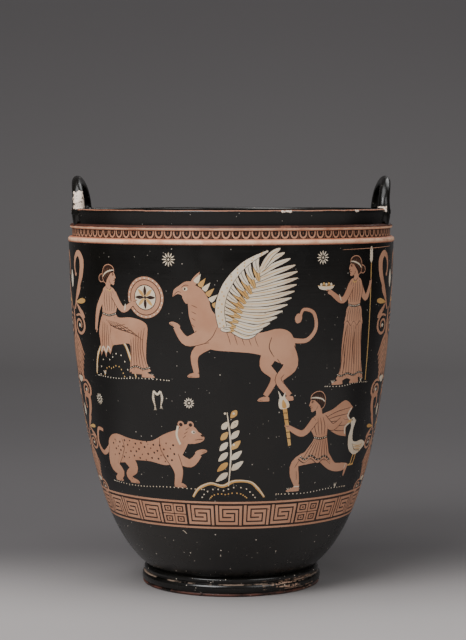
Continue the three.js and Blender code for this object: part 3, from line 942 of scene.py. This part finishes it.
def thrown_body():
    """Foot, painted wall, rim and inside, as one closed skin."""
    bm = bmesh.new()
    bm.loops.layers.uv.new("OFBake")
    wall_low, wall_high = PATCH_HEIGHTS[0], PATCH_HEIGHTS[-1]
    recess = [(RING_INNER - UNDERSIDE_RECESS * math.sin(k * math.pi / 16),
               UNDERSIDE_RECESS * (1 - math.cos(k * math.pi / 16))) for k in range(8, -1, -1)]
    foot = [(0, UNDERSIDE_RECESS), (20, UNDERSIDE_RECESS), (38, UNDERSIDE_RECESS)] + recess
    foot += [(RING_OUTER - 0.4, 0), (RING_OUTER + 0.5, 0.25), (BASE_FILLET_RADIUS - 0.2, 0.75),
             (BASE_FILLET_RADIUS, 1.1), (BASE_FILLET_RADIUS - 0.1, 1.6),
             (BASE_FILLET_RADIUS - 0.5, BASE_FILLET_TOP)]
    foot += moulding(BROAD_TORUS, BASE_GROOVE_RADIUS, TORUS_GROOVE_RADIUS, 14)
    foot += moulding(NARROW_TORUS, TORUS_GROOVE_RADIUS, FOOT_NECK_RADIUS, 10)
    foot.append((wall_radius(wall_low), wall_low))
    turn(bm, foot, GLOSS, (0.12, 0.17))
    turn(bm, moulding(LOWER_MOULDING, wall_radius(wall_high), FRIEZE_RADIUS), MOULDING, (0.17, 0.18))
    turn(bm, moulding(UPPER_MOULDING, FRIEZE_RADIUS, BAND_RADIUS), MOULDING, (0.2, 0.21))
    lip_foot = RIM_HEIGHT - LIP_ROUNDING
    band_top = [(BAND_RADIUS, UPPER_MOULDING[0] + UPPER_MOULDING[1]), (BAND_RADIUS, BAND_BOTTOM)]
    band_top += [(BAND_RADIUS + (LIP_RADIUS - BAND_RADIUS) * (k / 6) ** 1.5,
                  BAND_BOTTOM + (lip_foot - BAND_BOTTOM) * k / 6) for k in range(1, 7)]
    turn(bm, band_top, GLOSS, (0.21, 0.225))
    arc = [(math.sin(k * math.pi / 12), math.cos(k * math.pi / 12)) for k in range(7)]
    turn(bm, [(LIP_RADIUS - LIP_ROUNDING * (1 - c), lip_foot + LIP_ROUNDING * s) for s, c in arc], LIP,
         (0.225, 0.23))
    inside = [(LIP_RADIUS - LIP_ROUNDING, RIM_HEIGHT), ((LIP_RADIUS + LIP_INNER_RADIUS) / 2, RIM_HEIGHT)]
    inside += [(LIP_INNER_RADIUS + LIP_ROUNDING * (1 - s), lip_foot + LIP_ROUNDING * c) for s, c in arc]
    inside.append((LIP_INNER_RADIUS, BAND_BOTTOM))
    inner = WALL_RADIUS - WALL_THICKNESS
    inside += reversed(wall_line(FLOOR_EDGE, BAND_BOTTOM - WALL_THICKNESS, inner, INNER_CLOSE, 26))
    inside += [(30, INNER_CLOSE + 0.1), (0, INNER_CLOSE)]
    turn(bm, inside, INSIDE, (0.23, 0.26))
    painted_ring(bm, PAINT, GLOSS, PATCH_HEIGHTS, wall_radius)
    painted_ring(bm, FRIEZE, LINE, FRIEZE_EDGES, lambda z: FRIEZE_RADIUS, (0.18, 0.2))
    bmesh.ops.remove_doubles(bm, verts=bm.verts, dist=WELD)
    bmesh.ops.recalc_face_normals(bm, faces=bm.faces)
    return bm


def handle_line(side):
    """Centreline of a loop: out of the rim, over in a half oval and into the rim again."""
    line = [(-HANDLE_HALF_SPAN, RIM_HEIGHT - HANDLE_SINK)]
    for k in range(ARCH_STEPS + 1):
        angle = math.pi * k / ARCH_STEPS
        rise = (HANDLE_CROWN - HANDLE_SPRING) * math.sin(angle)
        line.append((-HANDLE_HALF_SPAN * math.cos(angle), HANDLE_SPRING + rise))
    line.append((HANDLE_HALF_SPAN, RIM_HEIGHT - HANDLE_SINK))
    return [(side * (HANDLE_REACH - HANDLE_BOW * (y / HANDLE_HALF_SPAN) ** 2), y, z) for y, z in line]


def handle(side):
    """One loop: an oval section carried along its centreline, thinner over the crown."""
    bm = bmesh.new()
    bmesh.ops.create_cone(bm, cap_ends=True, segments=HANDLE_SIDES, radius1=1, radius2=1, depth=1)
    legs = [e for e in bm.edges if abs(e.verts[0].co.z - e.verts[1].co.z) > 0.5]
    bmesh.ops.subdivide_edges(bm, edges=legs, cuts=HANDLE_STEPS - 1)
    line = np.array(handle_line(side))
    reach = np.r_[0, np.cumsum(np.linalg.norm(np.diff(line, axis=0), axis=1))]

    def spot(share):
        return Vector([np.interp(share * reach[-1], reach, line[:, k]) for k in range(3)])

    uv = bm.loops.layers.uv.new("OFBake")
    for face in bm.faces:
        face.material_index = GLOSS
        middle = face.calc_center_median()
        around = math.atan2(middle.y, middle.x)
        for loop in face.loops:
            x, y, z = loop.vert.co
            angle = around + (math.atan2(y, x) - around + math.pi) % (2 * math.pi) - math.pi
            loop[uv].uv = (0.5 + 0.22 * side + 0.2 * z, 0.05 + 0.04 * angle / math.pi)
    for vert in bm.verts:
        x, y, z = vert.co
        share = z + 0.5
        ahead = (spot(min(share + 0.01, 1)) - spot(max(share - 0.01, 0))).normalized()
        centre = spot(share)
        outward = Vector((centre.x, centre.y, 0)).normalized()
        across = outward.cross(ahead).normalized()
        from_crown = abs(2 * share - 1)
        depth, width = (crown + (leg - crown) * from_crown + (root - leg) * from_crown ** 8
                        for crown, leg, root in (HANDLE_HALF_DEPTH, HANDLE_HALF_WIDTH))
        vert.co = centre + outward * depth * x + across * width * y
    return bm


def root_pad(side, end):
    """Clay smeared over the rim's outer face under one leg."""
    bm = bmesh.new()
    uv = bm.loops.layers.uv.new("OFBake")
    bmesh.ops.create_uvsphere(bm, u_segments=24, v_segments=16, radius=1, calc_uvs=True)
    y = end * HANDLE_HALF_SPAN
    x = side * math.sqrt(PAD_CIRCLE ** 2 - y * y)
    bmesh.ops.scale(bm, vec=PAD_HALF, verts=bm.verts)
    bmesh.ops.rotate(bm, matrix=Matrix.Rotation(math.atan2(y, x), 3, "Z"), verts=bm.verts)
    bmesh.ops.translate(bm, vec=(x, y, PAD_HEIGHT), verts=bm.verts)
    for face in bm.faces:
        face.material_index = GLOSS
        for loop in face.loops:
            u, v = loop[uv].uv
            loop[uv].uv = (0.28 + 0.14 * side + 0.07 * end + 0.06 * u, 0.005 + 0.02 * v)
    return bm


def mesh_object(name, bm, materials):
    """A bmesh as an object of its own."""
    bmesh.ops.recalc_face_normals(bm, faces=bm.faces)
    mesh = bpy.data.meshes.new(name)
    bm.to_mesh(mesh)
    bm.free()
    for made in materials:
        mesh.materials.append(made)
    made = bpy.data.objects.new(name, mesh)
    bpy.context.collection.objects.link(made)
    return made


def joined(body, part):
    """Body with a part of its own clay grown into it."""
    cut = body.modifiers.new("join", "BOOLEAN")
    cut.operation, cut.solver, cut.object = "UNION", "MANIFOLD", part
    bpy.context.view_layer.update()
    whole = bpy.data.meshes.new_from_object(body.evaluated_get(bpy.context.evaluated_depsgraph_get()))
    body.modifiers.clear()
    if len(whole.polygons) == len(body.data.polygons):
        raise RuntimeError("the " + part.name + " did not join the body")
    old, body.data = body.data, whole
    bpy.data.meshes.remove(old)
    bpy.data.objects.remove(part)


def soften_roots(mesh):
    """Smear the clay where the loops grow out of the rim."""
    bm = bmesh.new()
    bm.from_mesh(mesh)
    roots = [Vector((side * (HANDLE_REACH - HANDLE_BOW), end * HANDLE_HALF_SPAN, RIM_HEIGHT))
             for side in (-1, 1) for end in (-1, 1)]

    def near_root():
        high = [v for v in bm.verts if v.co.z > BAND_BOTTOM + 1]
        return {v for v in high if min((v.co - root).length for root in roots) < SMEAR_REACH}

    near = near_root()
    long_edges = [e for e in bm.edges if e.verts[0] in near and e.verts[1] in near
                  and e.calc_length() > 1.6]
    bmesh.ops.subdivide_edges(bm, edges=long_edges, cuts=2, use_grid_fill=True)
    near = list(near_root())
    for _ in range(8):
        bmesh.ops.smooth_vert(bm, verts=near, factor=0.5, use_axis_x=True, use_axis_y=True,
                              use_axis_z=True)
    bm.to_mesh(mesh)
    bm.free()


def wall_normals(mesh):
    """Shade the painted wall by its true curve, however its facets run."""
    mesh.set_sharp_from_angle(angle=math.radians(42))
    count = len(mesh.loops)
    normals = np.empty(3 * count, np.float32)
    mesh.corner_normals.foreach_get("vector", normals)
    normals = normals.reshape(-1, 3)
    corner = np.empty(count, np.int32)
    mesh.loops.foreach_get("vertex_index", corner)
    places = np.empty(3 * len(mesh.vertices), np.float32)
    mesh.vertices.foreach_get("co", places)
    x, y, z = places.reshape(-1, 3)[corner].T / MM
    reach = np.hypot(x, y)
    radius, above, below = (np.array([wall_radius(h) for h in z + step]) for step in (0, 0.05, -0.05))
    on_wall = (abs(reach - radius) < 0.4) & (z > PATCH_HEIGHTS[0] + 0.2) & (z < PATCH_HEIGHTS[-1] - 0.2)
    true = np.stack([x / reach, y / reach, (below - above) / 0.1], axis=1)
    true /= np.linalg.norm(true, axis=1)[:, None]
    normals[on_wall] = true[on_wall]
    mesh.normals_split_custom_set(normals.tolist())


def situla(materials):
    """The whole fired piece."""
    piece = mesh_object("situla_painted", thrown_body(), materials)
    for side in (-1, 1):
        joined(piece, mesh_object("handle", handle(side), materials))
        for end in (-1, 1):
            joined(piece, mesh_object("pad", root_pad(side, end), materials))
    mesh = piece.data
    soften_roots(mesh)
    mesh.transform(Matrix.Scale(MM, 4))
    mesh.shade_smooth()
    wall_normals(mesh)
    return piece


def node(tree, kind, sockets=None, **settings):
    """Add a shader node; a socket takes a number, a colour or another node's output."""
    made = tree.nodes.new(kind)
    for name, value in settings.items():
        setattr(made, name, value)
    for name, value in (sockets or {}).items():
        if isinstance(value, bpy.types.NodeSocket):
            tree.links.new(value, made.inputs[name])
        else:
            made.inputs[name].default_value = value
    return made


def noise(tree, place, scale, detail=4.0, roughness=0.55):
    return node(tree, "ShaderNodeTexNoise", {"Vector": place, "Scale": scale, "Detail": detail,
                                             "Roughness": roughness}).outputs["Fac"]


def ramp(tree, value, low, high, to_low=0.0, to_high=1.0):
    """Value spread smoothly from one range to another."""
    return node(tree, "ShaderNodeMapRange", {"Value": value, "From Min": low, "From Max": high,
                                             "To Min": to_low, "To Max": to_high},
                interpolation_type="SMOOTHSTEP").outputs["Result"]


def maths(tree, operation, *values):
    return node(tree, "ShaderNodeMath", dict(enumerate(values)), operation=operation).outputs[0]


def vector_maths(tree, operation, *values):
    return node(tree, "ShaderNodeVectorMath", dict(enumerate(values)), operation=operation).outputs


def times(tree, a, b):
    return maths(tree, "MULTIPLY", a, b)


def most(tree, a, b):
    return maths(tree, "MAXIMUM", a, b)


def raised(tree, value, texture, reach):
    """Value raised by a texture, at most by its reach."""
    return maths(tree, "MULTIPLY_ADD", texture, reach, value)


def blend(tree, share, a, b):
    """Mix of two colours."""
    return node(tree, "ShaderNodeMix", {"Factor": share, 6: a, 7: b}, data_type="RGBA").outputs[2]


def finish(name):
    """A new material with its tree, its shader and the object's own coordinates."""
    made = bpy.data.materials.new(name)
    made.use_nodes = True
    tree = made.node_tree
    place = node(tree, "ShaderNodeTexCoord").outputs["Object"]
    return made, tree, tree.nodes["Principled BSDF"], place


def bump(tree, shader, height, strength, distance):
    made = node(tree, "ShaderNodeBump", {"Height": height, "Strength": strength, "Distance": distance})
    tree.links.new(made.outputs["Normal"], shader.inputs["Normal"])


def colour(red, green, blue):
    """Linear colour from 0 to 255 screen values."""
    return tuple(((v / 255 + 0.055) / 1.055) ** 2.4 if v > 10 else v / 255 / 12.92
                 for v in (red, green, blue)) + (1.0,)


def zone_mask(tree, place, low, high, ragged):
    """1 inside a box, fading at a ragged edge."""
    under = vector_maths(tree, "SUBTRACT", low, place)["Vector"]
    over = vector_maths(tree, "SUBTRACT", place, high)["Vector"]
    out = vector_maths(tree, "MAXIMUM", under, over)["Vector"]
    out = vector_maths(tree, "MAXIMUM", out, (0, 0, 0))["Vector"]
    away = vector_maths(tree, "LENGTH", out)["Value"]
    away = raised(tree, away, noise(tree, place, 420, 3), ragged)
    return ramp(tree, away, 0.5 * ragged, 0.5 * ragged + ZONE_FADE, 1, 0)


def specks(tree, place, scale, size, share):
    """Scattered tiny flakes: 1 in a flake."""
    cells = node(tree, "ShaderNodeTexVoronoi", {"Vector": place, "Scale": scale, "Randomness": 1.0})
    chosen = node(tree, "ShaderNodeSeparateColor", {"Color": cells.outputs["Color"]}).outputs["Red"]
    return times(tree, ramp(tree, cells.outputs["Distance"], size * 0.7, size, 1, 0),
                 ramp(tree, chosen, 1 - share, 1 - share + 0.01))


def rim_chips(tree, place):
    """Two chips on the front of the lip."""
    chips = 0.0
    for angle, half in RIM_CHIPS:
        spot = on_turn(LIP_RADIUS, math.radians(angle), RIM_HEIGHT - 0.9) * MM
        grow = Vector((half, half, 0.0003))
        chips = most(tree, chips, zone_mask(tree, place, spot - grow, spot + grow, 0.0034))
    return chips


def close_to(tree, value, middle, inner, outer):
    """1 close to a value, fading out further away."""
    off = maths(tree, "ABSOLUTE", maths(tree, "SUBTRACT", value, middle))
    return ramp(tree, off, inner, outer, 1, 0)


def foot_wear(tree, place, z, slip):
    """Slip rubbed off the foot: red along its base, pale on the torus, most on the right of the front."""
    patchy = noise(tree, place, 75, 5, 0.65)
    right = zone_mask(tree, place, *FOOT_RUB)
    base = times(tree, ramp(tree, z, 0.0026, 0.0016), ramp(tree, patchy, 0.36, 0.54))
    crest = times(tree, close_to(tree, z, 0.0090, 0.0001, 0.0005), ramp(tree, patchy, 0.45, 0.56))
    streaks = node(tree, "ShaderNodeMapping", {"Vector": place, "Scale": (45, 45, 800)}).outputs["Vector"]
    rubbed = times(tree, times(tree, right, ramp(tree, z, 0.0115, 0.0095)),
                   ramp(tree, noise(tree, streaks, 1.0, 2), 0.5, 0.62))
    worn = blend(tree, times(tree, base, 0.75), slip, colour(112, 66, 54))
    worn = blend(tree, times(tree, crest, 0.7), worn, colour(186, 160, 140))
    worn = blend(tree, times(tree, rubbed, 0.85), worn,
                 blend(tree, patchy, colour(176, 112, 88), colour(240, 214, 184)))
    return most(tree, most(tree, base, crest), rubbed), worn


def gloss_finish(name, inside=False):
    """Black gloss slip: soft sheen, painted sheen low on the left, wheel lines, flakes, and wear down to
    the clay on the edges.
    """
    made, tree, shader, place = finish(name)
    black = blend(tree, ramp(tree, noise(tree, place, 14, 5), 0.35, 0.7), colour(13, 12, 10),
                  colour(21, 19, 16))
    axes = node(tree, "ShaderNodeSeparateXYZ", {"Vector": place}).outputs
    z = axes["Z"]
    low_body = ramp(tree, z, 0.062, 0.050)
    # Painted sheen: the slip is painted lighter grey low on the left of the body, above the foot.
    thin_paint_and_painted_sheen = times(tree, low_body, ramp(tree, axes["X"], 0.01, -0.05))
    black = blend(tree, times(tree, thin_paint_and_painted_sheen, ramp(tree, z, 0.012, 0.018)), black, colour(38, 36, 33))
    wear = most(tree, times(tree, specks(tree, place, 260, 0.14, 0.06), 0.6),
                times(tree, specks(tree, place, 520, 0.2, 0.05), 0.45))
    wear = most(tree, wear, times(tree, specks(tree, place, 270, 0.15, 0.16), low_body))
    worn = blend(tree, wear, black, colour(226, 214, 198))
    if not inside:
        rubbed, worn = foot_wear(tree, place, z, worn)
        loss = rim_chips(tree, place)
        for bare_leg in LEG_LOSSES:
            loss = most(tree, loss, zone_mask(tree, place, *bare_leg))
        bare = blend(tree, noise(tree, place, 300), colour(232, 202, 178), colour(255, 240, 224))
        worn = blend(tree, loss, worn, bare)
        wear = most(tree, wear, most(tree, loss, rubbed))
    tree.links.new(worn, shader.inputs["Base Color"])
    patchy = ramp(tree, noise(tree, place, 34, 5), 0.3, 0.75, 0.2, 0.34)
    tree.links.new(raised(tree, patchy, wear, 0.35), shader.inputs["Roughness"])
    shader.inputs["Specular IOR Level"].default_value = 0.5
    rings = node(tree, "ShaderNodeMapping", {"Vector": place, "Scale": (6, 6, 260)}).outputs["Vector"]
    pits = times(tree, noise(tree, place, 120, 4), 0.5)
    bump(tree, shader, raised(tree, pits, noise(tree, rings, 1.0, 3), 0.5), 0.25, 0.0006)
    return made


def paint_finish(name, main, second, worn, roughness, wear_share):
    """Matt fired clay or slip paint, mottled, thinned in places and flecked."""
    made, tree, shader, place = finish(name)
    base = blend(tree, ramp(tree, noise(tree, place, 38, 6, 0.6), 0.32, 0.68), main, second)
    thin_paint_and_painted_sheen = ramp(tree, noise(tree, place, 210, 5, 0.65), wear_share, wear_share + 0.14)
    mixed = blend(tree, thin_paint_and_painted_sheen, base, worn)
    dark = specks(tree, place, 330, 0.2, 0.05)
    mixed = blend(tree, times(tree, dark, 0.6), mixed, colour(70, 48, 38))
    tree.links.new(mixed, shader.inputs["Base Color"])
    tree.links.new(ramp(tree, noise(tree, place, 90), 0.3, 0.7, roughness - 0.07, roughness + 0.07),
                   shader.inputs["Roughness"])
    shader.inputs["Specular IOR Level"].default_value = 0.3
    bump(tree, shader, noise(tree, place, 900, 3), 0.15, 0.0003)
    return made


def moulding_finish(name):
    """Half-round mouldings: bare clay, bright on the crest with a painted highlight and some wear, with a
    brown line over the upper one.
    """
    made, tree, shader, place = finish(name)
    z = node(tree, "ShaderNodeSeparateXYZ", {"Vector": place}).outputs["Z"]
    # Painted highlight along each crest, partly pale worn clay: lighter at the middle of the moulding's
    # height, fading towards its edges.
    crest_highlight_and_wear = 0.0
    for middle, half in (LOWER_MOULDING[:2], (UPPER_MOULDING[0] - 0.9, 1.2)):
        crest_highlight_and_wear = most(tree, crest_highlight_and_wear, close_to(tree, z, middle * MM, 0.25 * half * MM, 0.85 * half * MM))
    crest_highlight_and_wear = times(tree, crest_highlight_and_wear, ramp(tree, noise(tree, place, 90, 5, 0.6), 0.3, 0.6, 0.35, 1))
    clay = blend(tree, ramp(tree, noise(tree, place, 38, 6, 0.6), 0.32, 0.68), colour(204, 138, 108),
                 colour(182, 112, 84))
    clay = blend(tree, crest_highlight_and_wear, clay, colour(252, 206, 170))
    edge = raised(tree, z, noise(tree, place, 150, 4), 0.0008)
    brown = times(tree, ramp(tree, edge, 0.2755, 0.2759),
                  ramp(tree, noise(tree, place, 60, 5), 0.3, 0.45, 0.7, 1))
    clay = blend(tree, brown, clay, blend(tree, noise(tree, place, 90), colour(48, 32, 27),
                                          colour(92, 50, 38)))
    tree.links.new(clay, shader.inputs["Base Color"])
    shader.inputs["Roughness"].default_value = 0.5
    shader.inputs["Specular IOR Level"].default_value = 0.3
    bump(tree, shader, noise(tree, place, 700, 3), 0.15, 0.0003)
    return made


def lip_finish(name):
    """Rounded edge of the lip, rubbed through to the clay with remains of gloss."""
    made, tree, shader, place = finish(name)
    z = node(tree, "ShaderNodeSeparateXYZ", {"Vector": place}).outputs["Z"]
    edge = raised(tree, z, noise(tree, place, 60, 5, 0.6), 0.0016)
    rubbed = times(tree, ramp(tree, edge, 0.2880, 0.2883), ramp(tree, edge, 0.2889, 0.2886))
    rubbed = times(tree, rubbed, ramp(tree, noise(tree, place, 26, 4), 0.3, 0.42, 0.25, 1))
    clay = blend(tree, noise(tree, place, 240), colour(112, 66, 48), colour(196, 134, 102))
    worn = blend(tree, rubbed, colour(22, 19, 17), clay)
    worn = blend(tree, rim_chips(tree, place), worn, colour(226, 208, 190))
    tree.links.new(worn, shader.inputs["Base Color"])
    tree.links.new(ramp(tree, rubbed, 0, 1, 0.32, 0.6), shader.inputs["Roughness"])
    bump(tree, shader, noise(tree, place, 500, 3), 0.2, 0.0004)
    return made


def finishes():
    """Materials in the order of the slots."""
    clay = colour(207, 156, 126), colour(194, 140, 110), colour(172, 118, 92)
    white = colour(238, 226, 206), colour(228, 206, 176), colour(196, 150, 122)
    yellow = colour(224, 182, 116), colour(206, 154, 88), colour(186, 134, 98)
    line = colour(44, 30, 25), colour(58, 38, 30), colour(96, 64, 48)
    wash = colour(122, 82, 60), colour(140, 94, 68), colour(90, 58, 44)
    return [
        gloss_finish("black_gloss"),
        paint_finish("reserved_clay", *clay, 0.55, 0.66),
        paint_finish("added_white", *white, 0.6, 0.64),
        paint_finish("added_yellow", *yellow, 0.58, 0.66),
        paint_finish("relief_line", *line, 0.4, 0.72),
        paint_finish("thinned_wash", *wash, 0.5, 0.68),
        moulding_finish("moulding_clay"),
        lip_finish("rubbed_lip"),
        gloss_finish("inner_gloss", True),
    ]


# Camera, set from the photograph's 466 x 640 frame
LENS = 109.72
CAMERA_PLACE = (0.0014, -1.5016, 0.3034)
CAMERA_PITCH = 3.86  # degrees down

# Backdrop, in metres
SWEEP_HALF = 9.0
SWEEP_FRONT = -9.0
SWEEP_BEHIND = 1.7
SWEEP_BEND = 0.7
SWEEP_TOP = 4.0
SWEEP_STEPS = 12


def camera():
    """The photograph's viewpoint, a little above the rim."""
    data = bpy.data.cameras.new("camera")
    data.lens = LENS
    data.sensor_width = 36
    made = bpy.data.objects.new("camera", data)
    made.location = CAMERA_PLACE
    made.rotation_euler = (math.radians(90 - CAMERA_PITCH), 0, 0)
    bpy.context.collection.objects.link(made)
    bpy.context.scene.camera = made


def backdrop():
    """Pale floor that sweeps up into a wall behind, with painted shade: darker further back and up the
    wall.
    """
    bm = bmesh.new()
    line = [(SWEEP_FRONT, 0)]
    for k in range(SWEEP_STEPS + 1):
        angle = math.pi / 2 * k / SWEEP_STEPS
        line.append((SWEEP_BEHIND + SWEEP_BEND * math.sin(angle), SWEEP_BEND * (1 - math.cos(angle))))
    line.append((SWEEP_BEHIND + SWEEP_BEND, SWEEP_TOP))
    row = [bm.verts.new((-SWEEP_HALF, y, z)) for y, z in line]
    edges = [bm.edges.new(pair) for pair in zip(row, row[1:])]
    grown = bmesh.ops.extrude_edge_only(bm, edges=edges)["geom"]
    fresh = [g for g in grown if isinstance(g, bmesh.types.BMVert)]
    bmesh.ops.translate(bm, vec=(2 * SWEEP_HALF, 0, 0), verts=fresh)
    made, tree, shader, place = finish("backdrop_paper")
    axes = node(tree, "ShaderNodeSeparateXYZ", {"Vector": place}).outputs
    # Painted shade: the floor is pale in front and darker further back, and the wall is painted lighter
    # again far back and darker high up, in place of the lamps' fall-off.
    shade = blend(tree, ramp(tree, axes["Y"], -0.16, 0.15), colour(171, 166, 165), colour(88, 85, 86))
    shade = blend(tree, ramp(tree, axes["Y"], 0.8, 2.3), shade, colour(112, 109, 109))
    shade = blend(tree, ramp(tree, axes["Z"], 0.1, 0.75), shade, colour(99, 96, 97))
    tree.links.new(blend(tree, times(tree, noise(tree, place, 2), 0.12), shade, colour(120, 118, 118)),
                   shader.inputs["Base Color"])
    shader.inputs["Roughness"].default_value = 0.9
    sheet = mesh_object("backdrop", bm, [made])
    sheet.data.shade_smooth()


def light(name, place, aim, size, power):
    """A soft box turned towards its aim."""
    data = bpy.data.lights.new(name, "AREA")
    data.shape = "RECTANGLE"
    data.size, data.size_y = size
    data.energy = power
    made = bpy.data.objects.new(name, data)
    made.location = place
    made.rotation_euler = (Vector(aim) - Vector(place)).to_track_quat("-Z", "Y").to_euler()
    bpy.context.collection.objects.link(made)


def lights():
    """Soft studio light, mostly from the upper left."""
    light("key", (-1.1, -1.55, 1.75), (0, 0, 0.16), (1.3, 1.3), 48)
    light("fill", (1.4, -1.4, 1.4), (0, 0, 0.15), (1.2, 1.2), 14)
    light("top", (-0.3, -0.3, 2.0), (0, 0, 0.1), (1.6, 1.6), 26)
    light("back", (1.0, 1.5, 1.7), (0, 0, 0.15), (1.2, 1.2), 9)
    world = bpy.data.worlds.new("studio")
    world.use_nodes = True
    sky = world.node_tree.nodes["Background"].inputs
    sky["Color"].default_value = (0.5, 0.5, 0.51, 1)
    sky["Strength"].default_value = 0.2
    bpy.context.scene.world = world


camera()
key_band()
for column in (-105, -75, 75, 105):
    tendrils(column)
front()
back()
egg_frieze()
vessel = situla(finishes())
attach(vessel, "root")
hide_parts("situla")
backdrop()
lights()
